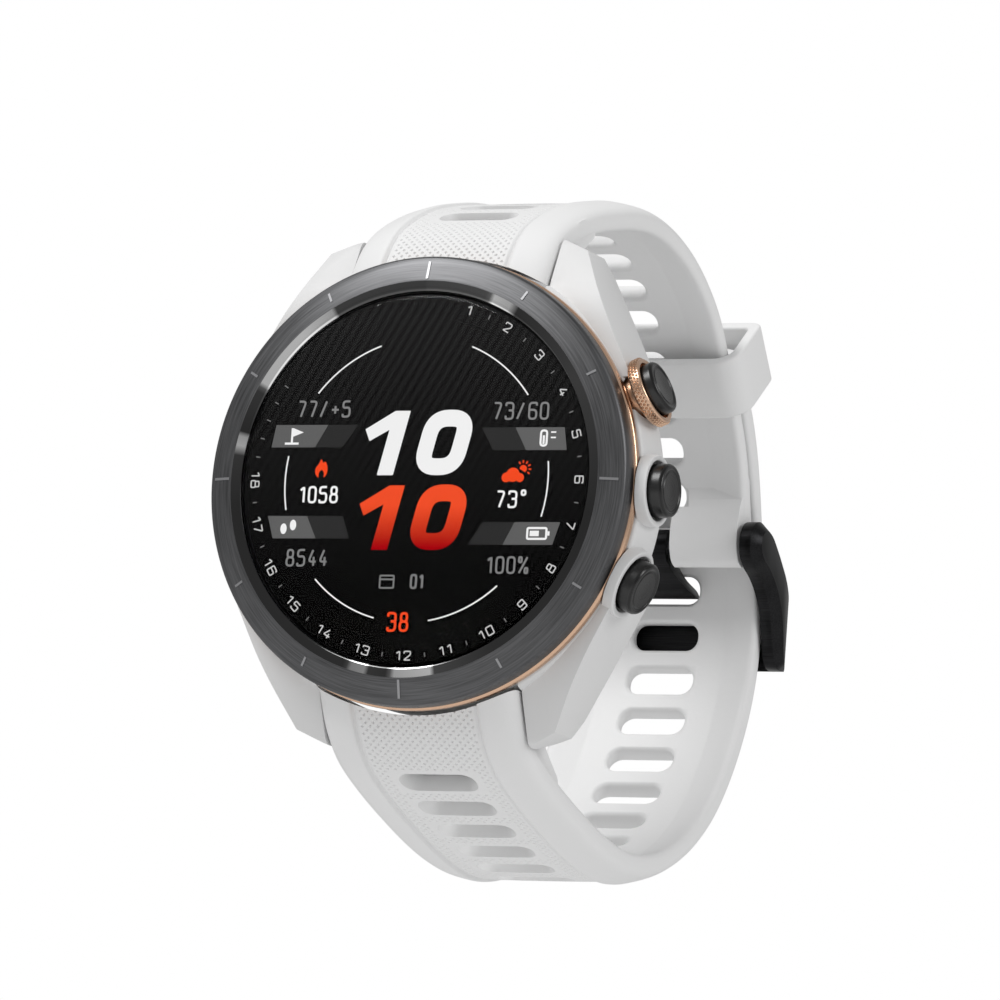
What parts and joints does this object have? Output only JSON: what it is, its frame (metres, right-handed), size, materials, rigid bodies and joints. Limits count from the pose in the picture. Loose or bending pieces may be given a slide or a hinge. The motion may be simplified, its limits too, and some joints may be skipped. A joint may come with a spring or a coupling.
{
  "type": "golf gps watch",
  "caption": "Round golf GPS watch with dark bezel, rose-gold accents, side buttons and a slotted silicone strap buckled into a wrist loop.",
  "frame": {"origin": "centre of the flat rear sensor window, the surface that rests on the wrist", "axes": "+Y out of the case back towards the wrist, so the face looks along -Y; +Z towards 12 o'clock; +X towards 3 o'clock, the buttons"},
  "size_m": [0.0452, 0.0664, 0.0645],
  "materials": {
    "case_polymer": "satin",
    "strap_silicone": "matte",
    "brushed_black": "brushed, dark coated",
    "rose_gold": "polished, rose-gold coated",
    "steel": "polished",
    "lens_glass": "polished",
    "display_black": "gloss",
    "seal_rubber": "matte",
    "circuit_board": "solder mask",
    "cell_foil": "foil",
    "contact_gold": "plated",
    "chassis_plastic": "matte",
    "sensor_lens": "gloss"
  },
  "bodies": {
    "watch": {"case_middle": "case_polymer", "bezel": "brushed_black", "bezel_accent_ring": "rose_gold", "lens": "lens_glass", "dial_number_ring": "display_black", "lens_gasket": "seal_rubber", "display_module": "display_black", "antenna_ring": "contact_gold", "main_board": "circuit_board", "battery": "cell_foil", "vibration_motor": "steel", "inner_chassis": "chassis_plastic", "switch_upper": "seal_rubber", "switch_middle": "seal_rubber", "switch_lower": "seal_rubber", "sensor_board": "circuit_board", "cover_screw_1": "steel", "cover_screw_2": "steel", "cover_screw_3": "steel", "cover_screw_4": "steel", "rear_cover": "brushed_black", "rear_seal": "seal_rubber", "rear_sensor_window": "sensor_lens", "charge_contact_block": "contact_gold", "button_collar_upper": "rose_gold", "strap_buckle_side": "strap_silicone", "strap_hole_side": "strap_silicone", "spring_bar_upper": "steel", "spring_bar_lower": "steel", "buckle_bar": "steel"},
    "button_upper_body": {"button_upper": "brushed_black", "button_seal_upper": "seal_rubber", "button_clip_upper": "steel"},
    "button_middle_body": {"button_middle": "brushed_black", "button_seal_middle": "seal_rubber", "button_clip_middle": "steel"},
    "button_lower_body": {"button_lower": "brushed_black", "button_seal_lower": "seal_rubber", "button_clip_lower": "steel"},
    "release_upper": {"release_pin_upper": "steel"},
    "release_lower": {"release_pin_lower": "steel"},
    "keeper": {"keeper_loop": "strap_silicone"},
    "buckle": {"buckle_frame": "brushed_black"},
    "tang": {"buckle_tang": "brushed_black"}
  },
  "joints": [
    {"name": "button_upper_press", "type": "slide", "parent": "watch", "child": "button_upper_body", "axis": [-0.9171, 0, -0.3987], "range_m": [0, 0.0006], "stiffness_N_per_m": 600, "springref_m": -0.0005},
    {"name": "button_middle_press", "type": "slide", "parent": "watch", "child": "button_middle_body", "axis": [-1, 0, 0.0087], "range_m": [0, 0.0006], "stiffness_N_per_m": 600, "springref_m": -0.0005},
    {"name": "button_lower_press", "type": "slide", "parent": "watch", "child": "button_lower_body", "axis": [-0.9157, 0, 0.4019], "range_m": [0, 0.0006], "stiffness_N_per_m": 600, "springref_m": -0.0005},
    {"name": "release_pin_upper_slide", "type": "slide", "parent": "watch", "child": "release_upper", "axis": [1, 0, 0], "range_m": [0, 0.0014], "stiffness_N_per_m": 400, "springref_m": -0.0008},
    {"name": "release_pin_lower_slide", "type": "slide", "parent": "watch", "child": "release_lower", "axis": [1, 0, 0], "range_m": [0, 0.0014], "stiffness_N_per_m": 400, "springref_m": -0.0008},
    {"name": "keeper_slide", "type": "slide", "parent": "watch", "child": "keeper", "axis": [0, 0.6298, -0.7768], "range_m": [-0.0012, 0.0012]},
    {"name": "buckle_frame_hinge", "type": "hinge", "parent": "watch", "child": "buckle", "pos_m": [0, 0.044, 0.003], "axis": [1, 0, 0], "range_deg": [0, 70]},
    {"name": "buckle_tang_hinge", "type": "hinge", "parent": "watch", "child": "tang", "pos_m": [0, 0.044, 0.003], "axis": [1, 0, 0], "range_deg": [-60, 0]}
  ]
}
